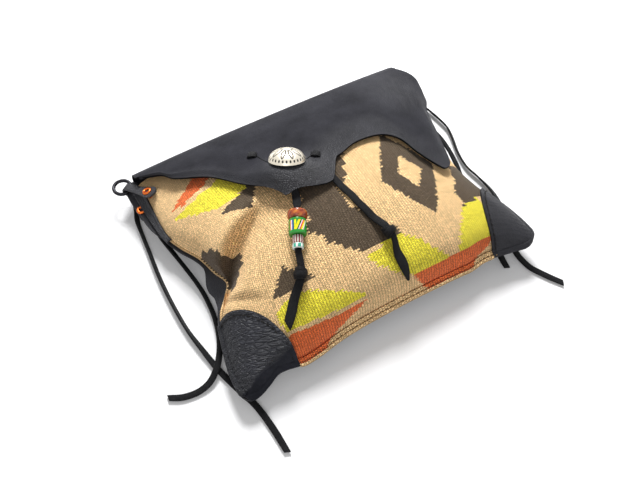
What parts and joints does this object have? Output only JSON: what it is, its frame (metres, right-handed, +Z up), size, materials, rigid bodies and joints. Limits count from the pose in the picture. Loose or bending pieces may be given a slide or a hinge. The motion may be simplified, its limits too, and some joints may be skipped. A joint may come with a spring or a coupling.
{
  "type": "shoulder bag",
  "caption": "Small leather and wool shoulder bag with a scalloped fold-over flap, domed button, beaded lace, corner patches, side rings and trailing laces.",
  "frame": {"origin": "middle of the flat patch of the back panel that rests on the table", "axes": "+X to the right across the bag's width as seen from its front, +Y from the bottom seam to the fold, +Z up out of the front"},
  "size_m": [0.3464, 0.2843, 0.0889],
  "materials": {
    "leather": "soft black, fine grain",
    "wool": "coarse tapestry weave in tan, brown, yellow-green and orange",
    "black_metal": "black",
    "copper": "bright copper",
    "silver": "stamped, darkened in the hollows",
    "amber_bead": "opaque",
    "green_bead": "opaque, banded",
    "striped_bead": "opaque, striped lengthways",
    "teal_bead": "opaque"
  },
  "bodies": {
    "bag": {"front_panel": "wool", "back_panel": "leather", "corner_patch_left": "leather", "corner_patch_right": "leather", "seam_strip_left": "leather", "seam_strip_right": "leather", "ring_tab_left": "leather", "ring_tab_right": "leather", "rivet_front_left": "copper", "rivet_front_right": "copper", "rivet_back_left": "copper", "rivet_back_right": "copper", "lace_tie_left": "leather", "lace_tie_right": "leather", "side_lace_left_long": "leather", "side_lace_left_short": "leather", "side_lace_right_long": "leather", "side_lace_right_short": "leather"},
    "flap": {"flap": "leather", "concho": "silver", "lace_stitch_left": "leather", "lace_stitch_right": "leather", "front_lace_left": "leather", "front_lace_right": "leather", "knot_left": "leather", "knot_right": "leather", "bead_amber": "amber_bead", "bead_green": "green_bead", "bead_striped": "striped_bead", "bead_teal": "teal_bead"},
    "ring_left": {"ring_left": "black_metal"},
    "ring_right": {"ring_right": "black_metal"}
  },
  "joints": [
    {"name": "flap_fold", "type": "hinge", "parent": "bag", "child": "flap", "pos_m": [0, 0.117, 0.012], "axis": [-1, 0, 0], "range_deg": [0, 132]},
    {"name": "ring_left_swing", "type": "hinge", "parent": "bag", "child": "ring_left", "pos_m": [-0.1404, 0.105, 0.0198], "axis": [0.8118, 0.5839, 0], "range_deg": [-30, 40]},
    {"name": "ring_right_swing", "type": "hinge", "parent": "bag", "child": "ring_right", "pos_m": [0.1404, 0.105, 0.0198], "axis": [0.7923, -0.6102, 0], "range_deg": [0, 75]}
  ]
}
